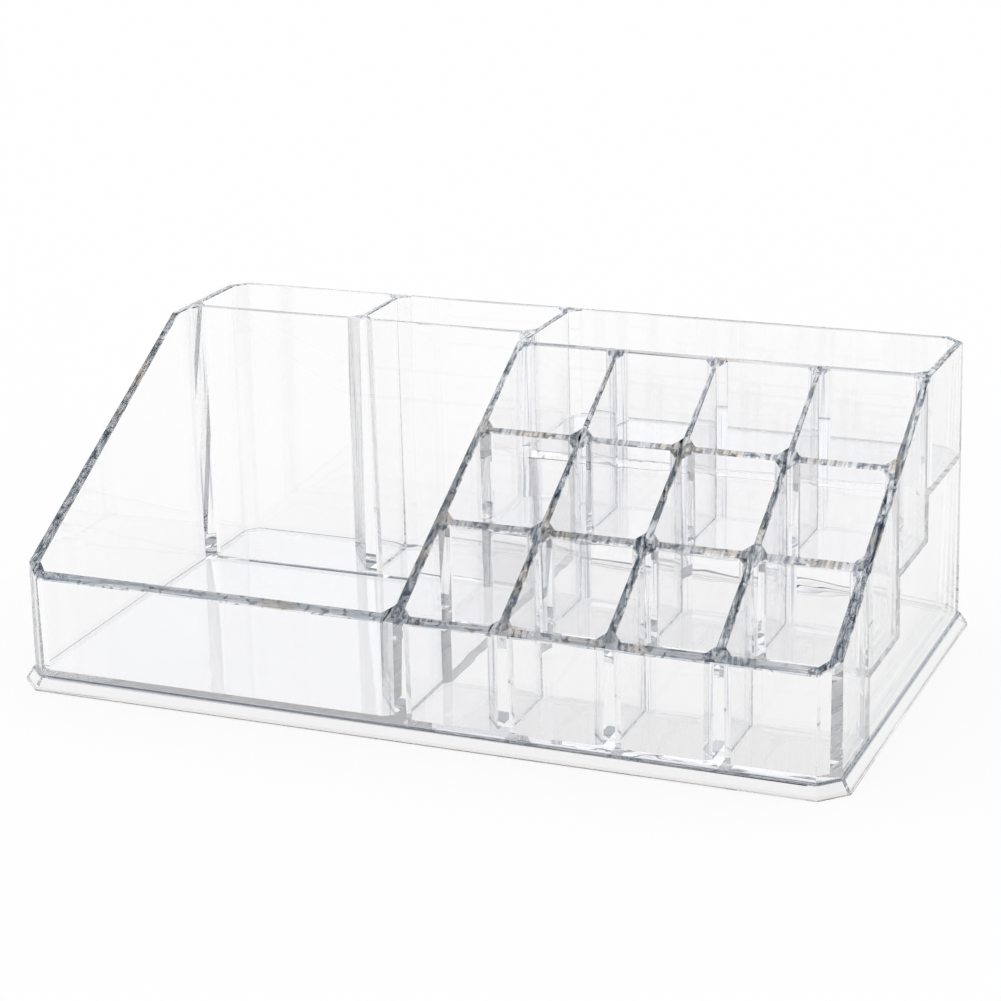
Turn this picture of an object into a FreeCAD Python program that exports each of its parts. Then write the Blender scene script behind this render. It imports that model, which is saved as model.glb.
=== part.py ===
import FreeCAD, Part
import math
import os

# Clear vanity organizer: an open tray and two brush pots on the left, twelve stepped
# lipstick cells and a raised rear tray on the right, all standing in a flaring base skirt.
# Millimetres, +Z up, origin at the middle of the footprint on the surface it stands on.
# Every upright face leans by the draft angle, so plan sizes are given at the top rim.

# Clear compartments at the top rim
tray_width = 101.6
cell_width = 26.1
cell_length = 26.8
rear_tray_length = 36.2
pot_length = 26.2
column_count = 4
row_count = 3

# Panel thicknesses at the top rim
side_wall = 2.0
end_wall = 1.5
middle_divider_wall = 1.6
column_wall = 1.2
row_wall = 1.4
rear_tray_wall = 1.4
pot_wall = 1.6
pot_divider_wall = 1.5

# Heights
height = 79.0
front_height = 30.0
floor_thickness = 2.0
row_step = 16.0
rear_tray_step = 12.3
level_land = 0.7

# Base skirt
skirt_height = 3.8
skirt_projection = 2.3
skirt_ledge = 0.4
skirt_lip = 0.8
skirt_sole = 2.5
skirt_foot = 1.2

# Corner cuts, measured along each wall
outer_corner = 4.4
tray_corner = 3.0
cell_corner = 2.4

# Joints
post_leg = 6.2
tongue_depth = 0.8
tongue_thickness = 0.7
housing_depth = 0.5

# Finish
draft_angle_degrees = 0.7
rim_ease = 0.25
overrun = 5.0

draft = math.tan(math.radians(draft_angle_degrees))

# Plan of the top rim, worked out from left to right and from front to back
cells_width = column_count * cell_width + (column_count - 1) * column_wall
cells_length = row_count * (cell_length + row_wall) - row_wall
body_length = side_wall + tray_width + middle_divider_wall + cells_width + side_wall
body_depth = end_wall + cells_length + rear_tray_wall + rear_tray_length + end_wall

left_face = side_wall - body_length / 2
right_face = body_length / 2 - side_wall
front_face = end_wall - body_depth / 2
back_face = body_depth / 2 - end_wall

tray_right = left_face + tray_width
cells_left = tray_right + middle_divider_wall
rear_tray_front = back_face - rear_tray_length
rear_tray_wall_front = rear_tray_front - rear_tray_wall
pot_front = back_face - pot_length
pot_width = (tray_width - pot_divider_wall) / 2
pot_divider_left = left_face + pot_width
pot_divider_right = pot_divider_left + pot_divider_wall

# Levels
base_floor_top = skirt_sole + floor_thickness
row_floor_tops = [base_floor_top + row_step * row for row in range(row_count)]
rear_tray_floor_top = row_floor_tops[-1] + rear_tray_step


def spread(level):
    """How far a leaning face has moved, at a level, from its place at the top rim."""
    return draft * (height - level)


# The rim slopes up from the front wall to the rear tray's front wall, which keeps a level land
slope_foot = front_face - end_wall - spread(front_height)
slope_top = rear_tray_front - level_land
rim_slope = (height - front_height) / (slope_top - slope_foot)


def rim_level(y):
    """Height of the rim at a place along the depth."""
    return min(height, front_height + rim_slope * (y - slope_foot))


def point(x, y, z):
    return FreeCAD.Vector(x, y, z)


def plain_block(low, high):
    """A box between two corners."""
    size = [high[axis] - low[axis] for axis in range(3)]
    return Part.makeBox(size[0], size[1], size[2], point(low[0], low[1], low[2]))


def face_through(corners):
    return Part.Face(Part.makePolygon(corners + corners[:1]))


def prismoid(lower, upper):
    """A solid with flat sides between two outlines that have matching corners."""
    faces = [face_through(lower), face_through(upper)]
    count = len(lower)
    for index in range(count):
        after = (index + 1) % count
        faces.append(face_through([lower[index], lower[after], upper[after], upper[index]]))
    solid = Part.Solid(Part.Shell(faces))
    if solid.Volume < 0:
        solid.reverse()
    return solid


def outline(bounds, corner, level, growth):
    """Rectangle with cut corners at a level, larger by growth on every side."""
    left, right, front, back = bounds
    left = left - growth
    right = right + growth
    front = front - growth
    back = back + growth
    leg = corner + (2 - math.sqrt(2)) * growth
    return [
        point(left + leg, front, level),
        point(right - leg, front, level),
        point(right, front + leg, level),
        point(right, back - leg, level),
        point(right - leg, back, level),
        point(left + leg, back, level),
        point(left, back - leg, level),
        point(left, front + leg, level),
    ]


def rectangle(bounds, level, growth):
    """Plain rectangle at a level, larger by growth on every side."""
    left, right, front, back = bounds
    return [
        point(left - growth, front - growth, level),
        point(right + growth, front - growth, level),
        point(right + growth, back + growth, level),
        point(left - growth, back + growth, level),
    ]


def cavity_block(bounds, bottom, top, margin):
    """Square-cornered inside of a compartment, narrowing downwards."""
    lower = rectangle(bounds, bottom, margin - spread(bottom))
    upper = rectangle(bounds, top, margin - spread(top))
    return prismoid(lower, upper)


def cavity_cut(bounds, corner, bottom, top):
    """Inside of a compartment with its cut corners, narrowing downwards."""
    lower = outline(bounds, corner, bottom, -spread(bottom))
    upper = outline(bounds, corner, top, -spread(top))
    return prismoid(lower, upper)


def panel_along_depth(left, right, front, back, bottom, top):
    """Upright panel that runs front to back, thicker towards its foot."""
    lower = spread(bottom)
    upper = spread(top)
    return prismoid(
        [point(left - lower, front, bottom), point(right + lower, front, bottom),
         point(right + lower, back, bottom), point(left - lower, back, bottom)],
        [point(left - upper, front, top), point(right + upper, front, top),
         point(right + upper, back, top), point(left - upper, back, top)],
    )


def panel_along_length(left, right, front, back, bottom, top):
    """Upright panel that runs left to right, thicker towards its foot."""
    lower = spread(bottom)
    upper = spread(top)
    return prismoid(
        [point(left, front - lower, bottom), point(right, front - lower, bottom),
         point(right, back + lower, bottom), point(left, back + lower, bottom)],
        [point(left, front - upper, top), point(right, front - upper, top),
         point(right, back + upper, top), point(left, back + upper, top)],
    )


def row_wall_front(row):
    """Front face of the wall behind a row of cells, at the top rim."""
    return front_face + (row + 1) * cell_length + row * row_wall


def column_wall_left(column):
    """Left face of the divider to the right of a column of cells, at the top rim."""
    return cells_left + (column + 1) * cell_width + column * column_wall


def cell_bounds(column, row):
    left = cells_left + column * (cell_width + column_wall)
    front = front_face + row * (cell_length + row_wall)
    return (left, left + cell_width, front, front + cell_length)


# Compartments, by their left, right, front and back faces at the top rim
open_tray = (left_face, tray_right, front_face, pot_front - pot_wall)
left_pot = (left_face, pot_divider_left, pot_front, back_face)
right_pot = (pot_divider_right, tray_right, pot_front, back_face)
rear_tray = (cells_left, right_face, rear_tray_front, back_face)


def rim_cutter():
    """Everything above the sloping front part of the rim."""
    left = -body_length / 2 - skirt_projection - overrun
    right = body_length / 2 + skirt_projection + overrun
    front = slope_foot - skirt_projection - overrun
    foot = front_height + rim_slope * (front - slope_foot)
    corners = [(front, foot), (slope_top, height), (slope_top, height + overrun), (front, height + overrun)]
    near = [point(left, y, z) for y, z in corners]
    far = [point(right, y, z) for y, z in corners]
    return prismoid(near, far)


def body_block(bottom, top):
    """The outside of the walls as one block with cut corners."""
    bounds = (-body_length / 2, body_length / 2, -body_depth / 2, body_depth / 2)
    lower = outline(bounds, outer_corner, bottom, spread(bottom))
    upper = outline(bounds, outer_corner, top, spread(top))
    return prismoid(lower, upper)


def base_skirt():
    """Flaring skirt, hollow underneath, with a narrow ledge that the walls stand on."""
    bounds = (-body_length / 2, body_length / 2, -body_depth / 2, body_depth / 2)
    wide = spread(skirt_sole) + skirt_projection
    narrow = spread(skirt_height) + skirt_ledge
    lip = prismoid(outline(bounds, outer_corner, 0, wide), outline(bounds, outer_corner, skirt_lip, wide))
    bevel = prismoid(outline(bounds, outer_corner, skirt_lip, wide),
                     outline(bounds, outer_corner, skirt_height, narrow))
    ring = lip.fuse(bevel).removeSplitter()
    flare = (wide - narrow) / (skirt_height - skirt_lip)
    foot = wide - skirt_foot
    hollow = prismoid(outline(bounds, outer_corner, -overrun, foot + flare * overrun),
                      outline(bounds, outer_corner, skirt_sole, foot - flare * skirt_sole))
    return ring.cut(body_block(skirt_sole, height)).cut(hollow)


def corner_posts():
    """Four posts that close the corners between the outer walls."""
    inner_x = body_length / 2 - post_leg
    inner_y = body_depth / 2 - post_leg
    reach_x = body_length / 2 + skirt_projection + overrun
    reach_y = body_depth / 2 + skirt_projection + overrun
    hollow = {
        "front_left": (open_tray, tray_corner),
        "front_right": (cell_bounds(column_count - 1, 0), cell_corner),
        "rear_left": (left_pot, tray_corner),
        "rear_right": (rear_tray, tray_corner),
    }
    block = body_block(skirt_sole, height)
    posts = {}
    for place, (bounds, corner) in hollow.items():
        low = [-reach_x, -reach_y, 0]
        high = [reach_x, reach_y, height + overrun]
        if "left" in place:
            high[0] = -inner_x
        else:
            low[0] = inner_x
        if "front" in place:
            high[1] = -inner_y
        else:
            low[1] = inner_y
        post = block.common(plain_block(low, high))
        posts[place] = post.cut(cavity_cut(bounds, corner, skirt_sole, height))
    return posts


def outer_wall_along_length(front, back):
    """Front or back wall, with a tongue at each end for its corner posts."""
    end = body_length / 2 - post_leg
    wall = panel_along_length(-end, end, front, back, skirt_sole, height)
    middle = (front + back) / 2
    reach = end + tongue_depth
    tongue = plain_block((-reach, middle - tongue_thickness / 2, skirt_sole),
                         (reach, middle + tongue_thickness / 2, height))
    return wall.fuse(tongue).removeSplitter()


def outer_wall_along_depth(left, right):
    """Left or right side wall, with a tongue at each end for its corner posts."""
    end = body_depth / 2 - post_leg
    wall = panel_along_depth(left, right, -end, end, skirt_sole, height)
    middle = (left + right) / 2
    reach = end + tongue_depth
    tongue = plain_block((middle - tongue_thickness / 2, -reach, skirt_sole),
                         (middle + tongue_thickness / 2, reach, height))
    return wall.fuse(tongue).removeSplitter()


def row_cross_wall(row):
    """Wall behind a row of cells, let into the middle divider and the right side wall."""
    front = row_wall_front(row)
    foot = row_floor_tops[row] - floor_thickness
    return panel_along_length(cells_left - housing_depth, right_face + housing_depth,
                              front, front + row_wall, foot, height)


def column_divider(column):
    """Divider between two columns of cells, with a stepped foot that follows the floors."""
    left = column_wall_left(column)
    divider = panel_along_depth(left, left + column_wall, front_face - housing_depth,
                                rear_tray_wall_front + housing_depth, base_floor_top, height)
    for row in range(1, row_count):
        step_line = row_wall_front(row - 1) + row_wall / 2
        below = plain_block((left - cell_width, step_line, -overrun),
                            (left + cell_width, back_face, row_floor_tops[row]))
        divider = divider.cut(below)
    return divider


def row_floor(row):
    """Floor under one row of cells; raised floors are let into the walls around them."""
    margin = housing_depth
    if row == 0:
        margin = 0
    front = front_face + row * (cell_length + row_wall)
    bounds = (cells_left, right_face, front, front + cell_length)
    top = row_floor_tops[row]
    return cavity_block(bounds, top - floor_thickness, top, margin)


def halve(column_dividers, row_walls):
    """Cross-halve the column dividers and the row walls: dividers drop in from above."""
    raw_dividers = list(column_dividers)
    for row, wall in enumerate(list(row_walls)):
        front = row_wall_front(row)
        rim = rim_level(front + row_wall / 2)
        half = (row_floor_tops[row + 1] + rim) / 2
        lower = plain_block((cells_left - overrun, front - cell_length / 2, -overrun),
                            (right_face + overrun, front + row_wall + cell_length / 2, half))
        for index, divider in enumerate(raw_dividers):
            row_walls[row] = row_walls[row].cut(divider.cut(lower))
            column_dividers[index] = column_dividers[index].cut(wall.common(lower))
    return column_dividers, row_walls


def corner_strips(compartments):
    """Triangular strips in the upright corners of some compartments, except where a post stands."""
    strips = []
    for bounds, corner, floor, post_corner in compartments:
        ends = []
        for level in (floor, height):
            square = rectangle(bounds, level, -spread(level))
            cut = outline(bounds, corner, level, -spread(level))
            ends.append({
                "front_left": [square[0], cut[0], cut[7]],
                "front_right": [square[1], cut[2], cut[1]],
                "rear_right": [square[2], cut[4], cut[3]],
                "rear_left": [square[3], cut[6], cut[5]],
            })
        for place in ends[0]:
            if place != post_corner:
                strips.append(prismoid(ends[0][place], ends[1][place]))
    return strips


def rim_outline(bounds, corner, leaning, growth, sloping, rise):
    """Corners of a leaning outline where it meets a rim plane raised by some amount."""
    lower = outline(bounds, corner, 0, leaning * spread(0) + growth)
    upper = outline(bounds, corner, height, growth)
    corners = []
    for low, high in zip(lower, upper):
        along = high - low
        if sloping:
            gap = rim_slope * (low.y - slope_foot) + front_height + rise
            share = gap / (along.z - rim_slope * along.y)
        else:
            share = (height + rise) / along.z
        corners.append(low + along * share)
    return corners


def mouth_cutter(bounds, corner, sloping):
    """Bevel round the mouth of a compartment."""
    lower = rim_outline(bounds, corner, -1, 0, sloping, -rim_ease)
    upper = rim_outline(bounds, corner, -1, rim_ease + rim_ease, sloping, rim_ease)
    return prismoid(lower, upper)


def outer_rim_cutter(sloping):
    """Bevel round the outside of the rim."""
    bounds = (-body_length / 2, body_length / 2, -body_depth / 2, body_depth / 2)
    kept = prismoid(rim_outline(bounds, outer_corner, 1, 0, sloping, -rim_ease),
                    rim_outline(bounds, outer_corner, 1, -rim_ease - rim_ease, sloping, rim_ease))
    around = prismoid(rim_outline(bounds, outer_corner, 0, overrun, sloping, -rim_ease),
                      rim_outline(bounds, outer_corner, 0, overrun, sloping, rim_ease))
    return around.cut(kept)


def rim_finish():
    """All the tools that shape the rim: the slope and the small bevels along its edges."""
    tools = [rim_cutter(), outer_rim_cutter(True), outer_rim_cutter(False)]
    for column in range(column_count):
        for row in range(row_count):
            tools.append(mouth_cutter(cell_bounds(column, row), cell_corner, True))
    for bounds in (left_pot, right_pot, rear_tray):
        tools.append(mouth_cutter(bounds, tray_corner, False))
    for sloping in (True, False):
        tools.append(mouth_cutter(open_tray, tray_corner, sloping))
    return tools


def finish_rim(solid, tools):
    """Cut one piece with the rim tools that reach it."""
    near = [tool for tool in tools if tool.BoundBox.intersect(solid.BoundBox)]
    return solid.cut(near)


def row_names(stem):
    return [stem + "_%d" % (row + 1) for row in range(row_count)]


def column_names():
    return ["lipstick_column_divider_%d" % (column + 1) for column in range(column_count - 1)]


def cross_wall_names():
    return ["lipstick_row_wall_%d" % (row + 1) for row in range(row_count - 1)]


def outer_pieces():
    """The outer walls and the posts between them."""
    pieces = {
        "front_wall": outer_wall_along_length(front_face - end_wall, front_face),
        "back_wall": outer_wall_along_length(back_face, back_face + end_wall),
        "left_side_wall": outer_wall_along_depth(left_face - side_wall, left_face),
        "right_side_wall": outer_wall_along_depth(right_face, right_face + side_wall),
    }
    for place, post in corner_posts().items():
        pieces["corner_post_" + place] = post
    return pieces


def inner_panels():
    """The upright panels between the compartments, before they are let into each other."""
    pieces = {
        "middle_divider": panel_along_depth(
            tray_right, cells_left, front_face - housing_depth, back_face + housing_depth,
            skirt_sole, height),
        "brush_pot_front_wall": panel_along_length(
            left_face - housing_depth, tray_right + housing_depth, pot_front - pot_wall, pot_front,
            base_floor_top, height),
        "brush_pot_divider": panel_along_depth(
            pot_divider_left, pot_divider_right, pot_front - housing_depth, back_face + housing_depth,
            base_floor_top, height),
        "rear_tray_front_wall": panel_along_length(
            cells_left - housing_depth, right_face + housing_depth, rear_tray_wall_front, rear_tray_front,
            row_floor_tops[-1] - floor_thickness, height),
    }
    columns = [column_divider(column) for column in range(column_count - 1)]
    walls = [row_cross_wall(row) for row in range(row_count - 1)]
    columns, walls = halve(columns, walls)
    pieces.update(zip(column_names(), columns))
    pieces.update(zip(cross_wall_names(), walls))
    return pieces


def floor_pieces():
    """The floors of all compartments."""
    left_half = (left_face, tray_right, front_face, back_face)
    rear_floor = cavity_block(rear_tray, rear_tray_floor_top - floor_thickness, rear_tray_floor_top,
                              housing_depth)
    pieces = {
        "tray_floor": cavity_block(left_half, skirt_sole, base_floor_top, 0),
        "rear_tray_floor": rear_floor.common(body_block(skirt_sole, height)),
    }
    for row, name in enumerate(row_names("lipstick_floor_row")):
        pieces[name] = row_floor(row)
    return pieces


def let_in(pieces):
    """Groove each piece for the pieces that it carries, so that none overlap."""
    outer_walls = ["front_wall", "back_wall", "left_side_wall", "right_side_wall"]
    posts = [name for name in pieces if name.startswith("corner_post_")]
    floors = row_names("lipstick_floor_row")
    across = cross_wall_names() + ["rear_tray_front_wall"]
    raised = floors[1:] + ["rear_tray_floor"]
    carried = {
        "front_wall": ["middle_divider"] + column_names(),
        "back_wall": ["middle_divider", "brush_pot_divider", "rear_tray_floor"],
        "left_side_wall": ["brush_pot_front_wall"],
        "right_side_wall": across + raised,
        "middle_divider": ["brush_pot_front_wall"] + across + raised,
        "brush_pot_front_wall": ["brush_pot_divider"],
        "rear_tray_front_wall": column_names() + [floors[-1], "rear_tray_floor"],
        "tray_floor": posts,
        floors[0]: posts,
        "rear_tray_floor": posts,
    }
    for post in posts:
        carried[post] = outer_walls
    for row, name in enumerate(cross_wall_names()):
        carried[name] = [floors[row], floors[row + 1]]
    whole = dict(pieces)
    for carrier, guests in carried.items():
        pieces[carrier] = whole[carrier].cut([whole[guest] for guest in guests])
    return pieces


def strip_groups():
    """The corner strips, one group for each row of cells and for each kind of larger compartment."""
    groups = {}
    for row, name in enumerate(row_names("cell_corner_strips_row")):
        cells = []
        for column in range(column_count):
            post_corner = None
            if row == 0 and column == column_count - 1:
                post_corner = "front_right"
            cells.append((cell_bounds(column, row), cell_corner, row_floor_tops[row], post_corner))
        groups[name] = corner_strips(cells)
    tray = (open_tray, tray_corner, base_floor_top, "front_left")
    pots = [(left_pot, tray_corner, base_floor_top, "rear_left"),
            (right_pot, tray_corner, base_floor_top, None)]
    rear = (rear_tray, tray_corner, rear_tray_floor_top, "rear_right")
    groups["open_tray_corner_strips"] = corner_strips([tray])
    groups["brush_pot_corner_strips"] = corner_strips(pots)
    groups["rear_tray_corner_strips"] = corner_strips([rear])
    return groups


def build():
    """All the nodes, each a list of solids with a finished rim."""
    pieces = {}
    pieces.update(outer_pieces())
    pieces.update(inner_panels())
    pieces.update(floor_pieces())
    pieces = let_in(pieces)
    pieces["base_skirt"] = base_skirt()
    nodes = {name: [piece] for name, piece in pieces.items()}
    nodes.update(strip_groups())
    tools = rim_finish()
    return {name: [finish_rim(solid, tools) for solid in solids] for name, solids in nodes.items()}


def imprint(nodes):
    """Outline every cemented patch, so that each bonded area is a face of its own."""
    owners = []
    solids = []
    for name, pieces in nodes.items():
        for piece in pieces:
            for solid in piece.Solids:
                owners.append(name)
                solids.append(solid)
    pieces_by_input = solids[0].generalFuse(solids[1:])[1]
    marked = {name: [] for name in nodes}
    for name, parts in zip(owners, pieces_by_input):
        for part in parts:
            marked[name].extend(part.Solids)
    return marked


os.makedirs("parts", exist_ok=True)
for name, solids in imprint(build()).items():
    Part.makeCompound(solids).exportStep("parts/%s.step" % name)
    print("%-28s %2d solids %9.1f mm3" % (name, len(solids), sum(solid.Volume for solid in solids)))
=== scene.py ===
import math
import bpy
import bmesh
from mathutils import Matrix, Vector
from mathutils.bvhtree import BVHTree

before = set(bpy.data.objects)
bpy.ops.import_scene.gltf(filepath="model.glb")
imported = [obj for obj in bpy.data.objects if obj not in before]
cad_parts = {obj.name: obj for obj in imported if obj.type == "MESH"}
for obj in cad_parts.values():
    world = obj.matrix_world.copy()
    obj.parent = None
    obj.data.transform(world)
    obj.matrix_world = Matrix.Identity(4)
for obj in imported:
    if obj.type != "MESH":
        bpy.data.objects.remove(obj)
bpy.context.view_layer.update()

# Clear vanity organizer: the solids of the frame keep their shape and get a polished clear plastic finish.
# Faces that are cemented to a neighbour get a bare see-through finish, so that light crosses each bond
# straight, as it does in one clear moulding.

scene = bpy.context.scene

# Two faces are bonded if they lie this near, in metres, and look at each other
bond_gap = 0.00002
bond_facing = -0.999

# Clear styrene: its index, and how it spreads light that has bounced inside it many times
styrene_index = 1.57
deep_bounces = 8
deep_roughness = 0.5

# Where the skirt, the rim and the corners are, in metres, and how they face, in parts of one
skirt_top = 0.0038
rim_front = Vector((0, -0.0625, 0.030))
rim_back = Vector((0, 0.0235, 0.079))
rim_depth = 0.0005
rim_least_rise = 0.3
corner_facing = 0.5
corner_back = 0.055

# Row walls of the lipstick cells, and the walls farther back that end in a level rim
cross_walls = ("lipstick_row_wall_1", "lipstick_row_wall_2")
level_walls = ("back_wall", "brush_pot_front_wall", "rear_tray_front_wall")

# Material slots of every node
body_slot = 0
bond_slot = 1
rim_slot = 2
corner_slot = 3

# A pattern that is stretched along no axis, and plain white
even = (1, 1, 1)
white = (1, 1, 1, 1)

# The dark flecks on the rims, painted shade
dark_fleck = (0.22, 0.24, 0.28, 1)

# Studio floor, metres and parts of one
floor_drop = 0.0003
floor_reach = 3.0
floor_paint = (0.97, 0.97, 0.97, 1)
floor_glow_share = 0.88

# Soft boxes: azimuth from +X, elevation and half angle in degrees, and strength
softbox_edge = 6
softboxes = (
    (130, 28, 26, 0.60),
    (45, 38, 18, 0.65),
    (225, 45, 26, 0.45),
    (315, 28, 18, 0.22))

# Shade of the studio by the height of the direction in which one looks
room_shade = (
    (0.0, (0.97, 0.97, 0.97, 1)),
    (0.1, (0.78, 0.79, 0.81, 1)),
    (0.25, (0.54, 0.56, 0.59, 1)),
    (0.5, (0.40, 0.42, 0.46, 1)),
    (0.75, (0.13, 0.16, 0.21, 1)),
    (1.0, (0.03, 0.05, 0.08, 1)))

# Camera of the photograph: angles in radians, place in metres, lens and sensor in millimetres
camera_yaw = 0.39494
camera_pitch = 0.315795
camera_roll = -0.023359
camera_place = Vector((0.26197, -0.62864, 0.26479))
camera_lens = 98.772
camera_sensor = 36

# How often light may bounce in clear plastic, cross a bond, and bounce off the floor
clear_bounces = 48
bond_crossings = 128
floor_bounces = 3


def new_material(name):
    """A material with an empty node tree, and its output node."""
    material = bpy.data.materials.new(name)
    material.use_nodes = True
    material.node_tree.nodes.clear()
    output = material.node_tree.nodes.new("ShaderNodeOutputMaterial")
    return material, material.node_tree, output


def object_coordinates(tree, scale):
    """Object coordinates through a Mapping node."""
    place = tree.nodes.new("ShaderNodeTexCoord")
    mapping = tree.nodes.new("ShaderNodeMapping")
    mapping.inputs["Scale"].default_value = scale
    tree.links.new(place.outputs["Object"], mapping.inputs["Vector"])
    return mapping.outputs["Vector"]


def noise(tree, stretch, scale, detail, distortion):
    """A noise pattern; a low number in stretch draws it out along that axis."""
    texture = tree.nodes.new("ShaderNodeTexNoise")
    texture.inputs["Scale"].default_value = scale
    texture.inputs["Detail"].default_value = detail
    texture.inputs["Distortion"].default_value = distortion
    tree.links.new(object_coordinates(tree, stretch), texture.inputs["Vector"])
    return texture.outputs["Fac"]


def ramp(tree, value, stops):
    """A colour ramp through the given (place, colour) stops."""
    node = tree.nodes.new("ShaderNodeValToRGB")
    elements = node.color_ramp.elements
    elements[0].position, elements[0].color = stops[0]
    elements[1].position, elements[1].color = stops[-1]
    for place, colour in stops[1:-1]:
        element = elements.new(place)
        element.color = colour
    tree.links.new(value, node.inputs["Fac"])
    return node.outputs["Color"]


def map_range(tree, value, low, high):
    """Turn a zero-to-one value into a plain range."""
    node = tree.nodes.new("ShaderNodeMapRange")
    node.inputs["To Min"].default_value = low
    node.inputs["To Max"].default_value = high
    tree.links.new(value, node.inputs["Value"])
    return node.outputs["Result"]


def bump(tree, height, distance):
    """A surface normal that follows a pattern, whose full height is the distance in metres."""
    node = tree.nodes.new("ShaderNodeBump")
    node.inputs["Strength"].default_value = 1.0
    node.inputs["Distance"].default_value = distance
    tree.links.new(height, node.inputs["Height"])
    return node.outputs["Normal"]


def multiply_colours(tree, first, second):
    """The product of two colours; inputs 6 and 7 and output 2 are the node's colour sockets."""
    node = tree.nodes.new("ShaderNodeMix")
    node.data_type = "RGBA"
    node.blend_type = "MULTIPLY"
    node.inputs["Factor"].default_value = 1.0
    tree.links.new(first, node.inputs[6])
    tree.links.new(second, node.inputs[7])
    return node.outputs[2]


def spread_deep_light(tree, roughness):
    """Light that has bounced many times inside the plastic is spread by its small flaws."""
    path = tree.nodes.new("ShaderNodeLightPath")
    deep = tree.nodes.new("ShaderNodeMath")
    deep.operation = "GREATER_THAN"
    deep.inputs[1].default_value = deep_bounces
    tree.links.new(path.outputs["Ray Depth"], deep.inputs[0])
    spread = tree.nodes.new("ShaderNodeMath")
    spread.operation = "MULTIPLY_ADD"
    spread.inputs[1].default_value = deep_roughness
    tree.links.new(deep.outputs["Value"], spread.inputs[0])
    tree.links.new(roughness, spread.inputs[2])
    return spread.outputs["Value"]


def clear_plastic(name, tint, haze, normal):
    """A clear styrene finish; tint, haze and normal are functions that add their nodes to its tree."""
    material, tree, output = new_material(name)
    shader = tree.nodes.new("ShaderNodeBsdfPrincipled")
    shader.inputs["Transmission Weight"].default_value = 1.0
    shader.inputs["IOR"].default_value = styrene_index
    tree.links.new(tint(tree), shader.inputs["Base Color"])
    tree.links.new(spread_deep_light(tree, haze(tree)), shader.inputs["Roughness"])
    tree.links.new(normal(tree), shader.inputs["Normal"])
    tree.links.new(shader.outputs["BSDF"], output.inputs["Surface"])
    return material


def faint_tint(tree):
    """Almost colourless, with a cool cloud here and there."""
    cloud = noise(tree, even, scale=28, detail=1, distortion=0.4)
    return ramp(tree, cloud, [(0.3, (0.991, 0.989, 0.994, 1)), (0.7, (0.999, 0.998, 1.0, 1))])


def polish(tree):
    """High polish with a hint of handling haze."""
    haze = noise(tree, even, scale=140, detail=1, distortion=0.2)
    return map_range(tree, haze, low=0.0, high=0.01)


def gentle_swell(tree):
    """Slow moulding waves of a broad panel."""
    swell = noise(tree, (1, 1, 0.25), scale=50, detail=0, distortion=0.5)
    return bump(tree, swell, distance=0.000015)


def slight_swell(tree):
    """The posts are solid and so stay straighter than the panels."""
    swell = noise(tree, (1, 1, 0.1), scale=40, detail=0, distortion=0.0)
    return bump(tree, swell, distance=0.000002)


def panel_plastic():
    """Broad panels."""
    return clear_plastic("panel_plastic", faint_tint, polish, gentle_swell)


def post_plastic():
    """Corner posts."""
    return clear_plastic("post_plastic", faint_tint, polish, slight_swell)


def row_wall_plastic():
    """Row walls, which show flow waves where the steps behind them drew in."""
    def flow_waves(tree):
        waves = noise(tree, (0.5, 1, 1.4), scale=65, detail=0, distortion=1.2)
        return bump(tree, waves, distance=0.00012)
    return clear_plastic("row_wall_plastic", faint_tint, polish, flow_waves)


def floor_plastic():
    """Floors, with a soft ripple that spreads from where they were filled."""
    def ripple(tree):
        waves = noise(tree, (1, 0.6, 1), scale=85, detail=1, distortion=0.9)
        return bump(tree, waves, distance=0.00003)
    return clear_plastic("floor_plastic", faint_tint, polish, ripple)


def skirt_plastic():
    """Base skirt: clear, with a painted shadow line in slate along its top edge, a warm painted contact
    shadow at its foot, and a slight wave.
    """
    def painted_edge_shade(tree):
        # Painted shade: a warm contact shadow at the foot and a slate shadow line below the top edge
        parts = tree.nodes.new("ShaderNodeSeparateXYZ")
        tree.links.new(object_coordinates(tree, (1, 1, 1 / skirt_top)), parts.inputs["Vector"])
        lines = ramp(tree, parts.outputs["Z"], [
            (0.0, (0.78, 0.74, 0.69, 1)),
            (0.16, white),
            (0.80, white),
            (0.90, (0.34, 0.39, 0.46, 1))])
        return multiply_colours(tree, faint_tint(tree), lines)

    def wave(tree):
        waves = noise(tree, (1, 1, 0.5), scale=70, detail=1, distortion=0.6)
        return bump(tree, waves, distance=0.00003)
    return clear_plastic("skirt_plastic", painted_edge_shade, polish, wave)


def corner_plastic():
    """Upright inside corners: painted shade in grey and white lines side by side that run down the strip,
    over draw lines bumped into the surface.
    """
    def painted_corner_shade(tree):
        # Painted shade: grey and white lines in the corner's colour, for what the bent faces refract
        lines = noise(tree, (1, 1, 0.012), scale=1800, detail=1, distortion=0.0)
        return ramp(tree, lines, [
            (0.32, (0.40, 0.43, 0.48, 1)),
            (0.40, (0.78, 0.80, 0.84, 1)),
            (0.48, (0.99, 0.99, 0.995, 1))])

    def draw_lines(tree):
        lines = noise(tree, (1, 1, 0.03), scale=700, detail=1, distortion=0.0)
        return bump(tree, lines, distance=0.000001)
    return clear_plastic("corner_plastic", painted_corner_shade, polish, draw_lines)


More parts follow.
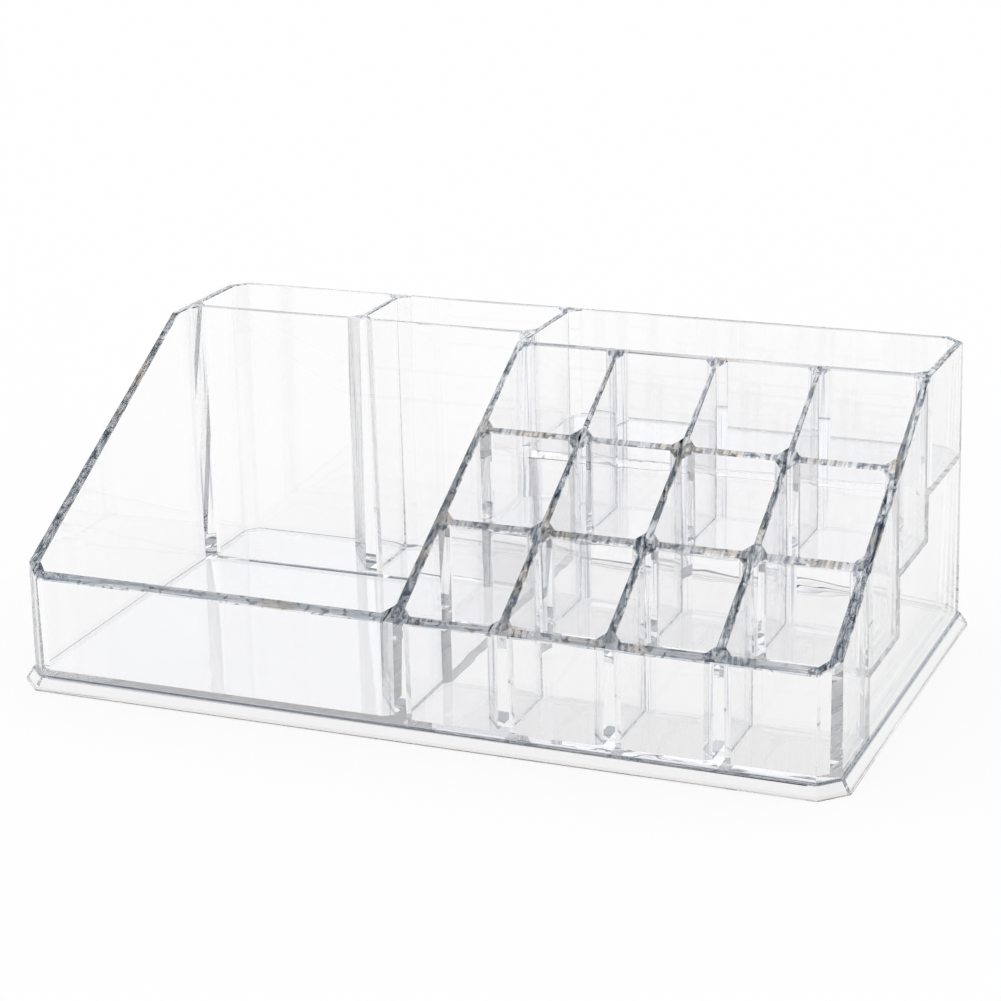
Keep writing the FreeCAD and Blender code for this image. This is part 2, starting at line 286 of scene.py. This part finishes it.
def rim_plastic(name, stretch, fleck, dark, middle, light):
    """Rims in painted shade, slate blue as the wall looks when one sees along it: slate streaks and dark
    flecks, with warm patches.
    """
    def painted_rim_shade(tree):
        # Painted shade: slate streaks and dark flecks stand for the dark studio seen along the wall
        streaks = noise(tree, stretch, scale=1500, detail=2, distortion=0.0)
        slate = ramp(tree, streaks, [
            (0.38, dark),
            (0.47, middle),
            (0.54, light),
            (0.58, (0.98, 0.985, 1.0, 1))])
        spots = noise(tree, even, scale=480, detail=2, distortion=0.8)
        flecks = ramp(tree, spots, [(0.38, fleck), (0.43, white)])
        patches = noise(tree, even, scale=90, detail=1, distortion=0.3)
        warmth = ramp(tree, patches, [(0.56, white), (0.66, (1, 0.85, 0.68, 1))])
        return multiply_colours(tree, multiply_colours(tree, slate, flecks), warmth)

    def satin(tree):
        haze = noise(tree, even, scale=300, detail=1, distortion=0.0)
        return map_range(tree, haze, low=0.0, high=0.04)

    def streak_lines(tree):
        lines = noise(tree, stretch, scale=1100, detail=1, distortion=0.0)
        return bump(tree, lines, distance=0.00001)
    return clear_plastic(name, painted_rim_shade, satin, streak_lines)


def long_rim_plastic():
    """Rims that climb from the front to the back, with the darkest painted shade."""
    return rim_plastic(
        "long_rim_plastic",
        stretch=(1, 0.2, 0.2),
        fleck=dark_fleck,
        dark=(0.11, 0.14, 0.19, 1),
        middle=(0.40, 0.45, 0.52, 1),
        light=(0.74, 0.78, 0.83, 1))


def cross_rim_plastic():
    """Rims of the row walls, with painted shade streaks across their length."""
    return rim_plastic(
        "cross_rim_plastic",
        stretch=(1, 0.05, 0.05),
        fleck=dark_fleck,
        dark=(0.26, 0.30, 0.36, 1),
        middle=(0.55, 0.59, 0.64, 1),
        light=(0.84, 0.86, 0.89, 1))


def level_rim_plastic():
    """Level rims at the back, with smooth, pale painted shade and no flecks."""
    return rim_plastic(
        "level_rim_plastic",
        stretch=(0.02, 0.3, 0.3),
        fleck=white,
        dark=(0.50, 0.53, 0.57, 1),
        middle=(0.64, 0.67, 0.71, 1),
        light=(0.80, 0.82, 0.85, 1))


def front_rim_plastic():
    """The front rim, smoother, with painted shade streaks along its length."""
    return rim_plastic(
        "front_rim_plastic",
        stretch=(0.05, 1, 1),
        fleck=dark_fleck,
        dark=(0.34, 0.40, 0.48, 1),
        middle=(0.54, 0.61, 0.69, 1),
        light=(0.80, 0.85, 0.91, 1))


def cemented_bond():
    """Bonded face between two pieces: light passes it unbent."""
    material, tree, output = new_material("cemented_bond")
    shader = tree.nodes.new("ShaderNodeBsdfTransparent")
    tree.links.new(shader.outputs["BSDF"], output.inputs["Surface"])
    return material


def all_triangles(nodes):
    """Corners and facing of every triangle of the frame, with the node and polygon it belongs to."""
    corners = []
    triangles = []
    facings = []
    owners = []
    for name, piece in nodes.items():
        mesh = piece.data
        for polygon in mesh.polygons:
            start = len(corners)
            corners.extend(mesh.vertices[index].co.copy() for index in polygon.vertices)
            triangles.append(tuple(range(start, len(corners))))
            facings.append(polygon.normal.copy())
            owners.append((name, polygon.index))
    return corners, triangles, facings, owners


def middle_of(corners, triangle):
    """The middle of one triangle."""
    return sum((corners[point] for point in triangle), Vector()) / len(triangle)


def bonded_triangles(corners, triangles, facings):
    """For each triangle, whether it lies against the face of a neighbour."""
    tree = BVHTree.FromPolygons(corners, triangles)
    bonded = []
    for index, triangle in enumerate(triangles):
        near = tree.find_nearest_range(middle_of(corners, triangle), bond_gap)
        others = [other for place, facing, other, distance in near if other != index]
        bonded.append(any(facings[index].dot(facings[other]) < bond_facing for other in others))
    return bonded


def on_rim(middle, facing):
    """Whether a face belongs to the sloping or the level rim, small bevels included."""
    if facing.z < rim_least_rise:
        return False
    run = rim_back - rim_front
    slope = run.z / run.y
    sloping = rim_front.z + slope * (middle.y - rim_front.y)
    return min(sloping, rim_back.z) - middle.z < rim_depth


def is_corner(middle, facing):
    """Whether a face cuts across an upright corner; the corners along the back wall are plain."""
    return middle.y < corner_back and abs(facing.x) > corner_facing and abs(facing.y) > corner_facing


def body_plastics(nodes):
    """The finish of the broad faces of each node."""
    panel = panel_plastic()
    floor = floor_plastic()
    row_wall = row_wall_plastic()
    post = post_plastic()
    finishes = {}
    for name in nodes:
        finishes[name] = panel
        if "floor" in name:
            finishes[name] = floor
        if "row_wall" in name:
            finishes[name] = row_wall
        if "corner_post" in name:
            finishes[name] = post
    finishes["base_skirt"] = skirt_plastic()
    return finishes


def rim_plastics(nodes):
    """The finish of the rim of each node."""
    long_rim = long_rim_plastic()
    cross_rim = cross_rim_plastic()
    level_rim = level_rim_plastic()
    finishes = {}
    for name in nodes:
        finishes[name] = long_rim
        if name in cross_walls:
            finishes[name] = cross_rim
        if name in level_walls:
            finishes[name] = level_rim
    finishes["front_wall"] = front_rim_plastic()
    return finishes


def finish_nodes(nodes):
    """Give each face of the frame its finish: broad face, bond, rim or upright corner."""
    corners, triangles, facings, owners = all_triangles(nodes)
    bonded = bonded_triangles(corners, triangles, facings)
    bodies = body_plastics(nodes)
    bond = cemented_bond()
    rims = rim_plastics(nodes)
    inside_corner = corner_plastic()
    for name, piece in nodes.items():
        corner = bodies[name] if "corner_post" in name else inside_corner
        piece.data.materials.clear()
        for material in (bodies[name], bond, rims[name], corner):
            piece.data.materials.append(material)
    for index, (name, polygon) in enumerate(owners):
        middle = middle_of(corners, triangles[index])
        slot = body_slot
        if bonded[index]:
            slot = bond_slot
        elif on_rim(middle, facings[index]):
            slot = rim_slot
        elif is_corner(middle, facings[index]) and name != "base_skirt":
            slot = corner_slot
        nodes[name].data.polygons[polygon].material_index = slot


def seen_directly(tree):
    """One for camera, glossy and transmission rays, zero for the rest."""
    path = tree.nodes.new("ShaderNodeLightPath")
    total = path.outputs["Is Camera Ray"]
    for kind in ("Is Glossy Ray", "Is Transmission Ray"):
        either = tree.nodes.new("ShaderNodeMath")
        either.operation = "MAXIMUM"
        tree.links.new(total, either.inputs[0])
        tree.links.new(path.outputs[kind], either.inputs[1])
        total = either.outputs["Value"]
    return total


def floor_finish():
    """Pale paint, mixed with a white glow where it is seen directly or through clear plastic."""
    material, tree, output = new_material("studio_floor")
    paint = tree.nodes.new("ShaderNodeBsdfDiffuse")
    paint.inputs["Color"].default_value = floor_paint
    glow = tree.nodes.new("ShaderNodeEmission")
    glow.inputs["Color"].default_value = white
    share = tree.nodes.new("ShaderNodeMath")
    share.operation = "MULTIPLY"
    share.inputs[1].default_value = floor_glow_share
    tree.links.new(seen_directly(tree), share.inputs[0])
    mix = tree.nodes.new("ShaderNodeMixShader")
    tree.links.new(share.outputs["Value"], mix.inputs["Fac"])
    tree.links.new(paint.outputs["BSDF"], mix.inputs[1])
    tree.links.new(glow.outputs["Emission"], mix.inputs[2])
    tree.links.new(mix.outputs["Shader"], output.inputs["Surface"])
    return material


def pale_floor():
    """A wide pale floor that reads as white and keeps a soft shadow."""
    shape = bmesh.new()
    bmesh.ops.create_grid(shape, x_segments=1, y_segments=1, size=floor_reach)
    bmesh.ops.translate(shape, verts=shape.verts, vec=(0, 0, -floor_drop))
    mesh = bpy.data.meshes.new("studio_floor")
    shape.to_mesh(mesh)
    shape.free()
    floor = bpy.data.objects.new("studio_floor", mesh)
    scene.collection.objects.link(floor)
    mesh.materials.append(floor_finish())


def softbox(tree, direction, azimuth, elevation, half_angle, strength):
    """A soft round patch of light in the studio, at an azimuth from +X and an elevation in degrees."""
    turn = math.radians(azimuth)
    rise = math.radians(elevation)
    aim = tree.nodes.new("ShaderNodeVectorMath")
    aim.operation = "DOT_PRODUCT"
    aim.inputs[1].default_value = (
        math.cos(turn) * math.cos(rise), math.sin(turn) * math.cos(rise), math.sin(rise))
    tree.links.new(direction, aim.inputs[0])
    edge = tree.nodes.new("ShaderNodeMapRange")
    edge.interpolation_type = "SMOOTHSTEP"
    edge.inputs["From Min"].default_value = math.cos(math.radians(half_angle + softbox_edge))
    edge.inputs["From Max"].default_value = math.cos(math.radians(half_angle - softbox_edge))
    edge.inputs["To Max"].default_value = strength
    tree.links.new(aim.outputs["Value"], edge.inputs["Value"])
    glow = tree.nodes.new("ShaderNodeBackground")
    glow.inputs["Color"].default_value = white
    tree.links.new(edge.outputs["Result"], glow.inputs["Strength"])
    return glow.outputs["Background"]


def add_shaders(tree, shaders):
    """The sum of some shaders."""
    total = shaders[0]
    for shader in shaders[1:]:
        add = tree.nodes.new("ShaderNodeAddShader")
        tree.links.new(total, add.inputs[0])
        tree.links.new(shader, add.inputs[1])
        total = add.outputs["Shader"]
    return total


def studio_look(tree):
    """What clear plastic sees of the studio: slate shade overhead, paler low down, and a few soft boxes."""
    place = tree.nodes.new("ShaderNodeTexCoord")
    direction = place.outputs["Generated"]
    parts = tree.nodes.new("ShaderNodeSeparateXYZ")
    tree.links.new(direction, parts.inputs["Vector"])
    room = tree.nodes.new("ShaderNodeBackground")
    tree.links.new(ramp(tree, parts.outputs["Z"], room_shade), room.inputs["Color"])
    shaders = [room.outputs["Background"]]
    for azimuth, elevation, half_angle, strength in softboxes:
        shaders.append(softbox(tree, direction, azimuth, elevation, half_angle, strength))
    return add_shaders(tree, shaders)


def studio_world():
    """Plain even light for the floor, plain white for the camera, and the studio for clear plastic."""
    world = bpy.data.worlds.new("studio")
    scene.world = world
    world.use_nodes = True
    tree = world.node_tree
    tree.nodes.clear()
    output = tree.nodes.new("ShaderNodeOutputWorld")
    backdrop = tree.nodes.new("ShaderNodeBackground")
    backdrop.inputs["Color"].default_value = white
    path = tree.nodes.new("ShaderNodeLightPath")
    through = tree.nodes.new("ShaderNodeMath")
    through.operation = "MAXIMUM"
    tree.links.new(path.outputs["Is Glossy Ray"], through.inputs[0])
    tree.links.new(path.outputs["Is Transmission Ray"], through.inputs[1])
    mix = tree.nodes.new("ShaderNodeMixShader")
    tree.links.new(through.outputs["Value"], mix.inputs["Fac"])
    tree.links.new(backdrop.outputs["Background"], mix.inputs[1])
    tree.links.new(studio_look(tree), mix.inputs[2])
    tree.links.new(mix.outputs["Shader"], output.inputs["Surface"])


def photo_camera():
    """The camera of the photograph."""
    ahead = Vector((
        -math.sin(camera_yaw) * math.cos(camera_pitch),
        math.cos(camera_yaw) * math.cos(camera_pitch),
        -math.sin(camera_pitch)))
    level = Vector((math.cos(camera_yaw), math.sin(camera_yaw), 0))
    upright = level.cross(ahead)
    right = math.cos(camera_roll) * level + math.sin(camera_roll) * upright
    up = math.cos(camera_roll) * upright - math.sin(camera_roll) * level
    data = bpy.data.cameras.new("photo_camera")
    data.sensor_width = camera_sensor
    data.lens = camera_lens
    camera = bpy.data.objects.new("photo_camera", data)
    camera.matrix_world = Matrix((
        (right.x, up.x, -ahead.x, camera_place.x),
        (right.y, up.y, -ahead.y, camera_place.y),
        (right.z, up.z, -ahead.z, camera_place.z),
        (0, 0, 0, 1)))
    scene.collection.objects.link(camera)
    scene.camera = camera


def light_paths():
    """Enough bounces for light that runs along many clear walls."""
    scene.cycles.max_bounces = clear_bounces
    scene.cycles.glossy_bounces = clear_bounces
    scene.cycles.transmission_bounces = clear_bounces
    scene.cycles.transparent_max_bounces = bond_crossings
    scene.cycles.diffuse_bounces = floor_bounces


finish_nodes(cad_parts)
pale_floor()
studio_world()
photo_camera()
light_paths()
scene.view_settings.view_transform = "Standard"
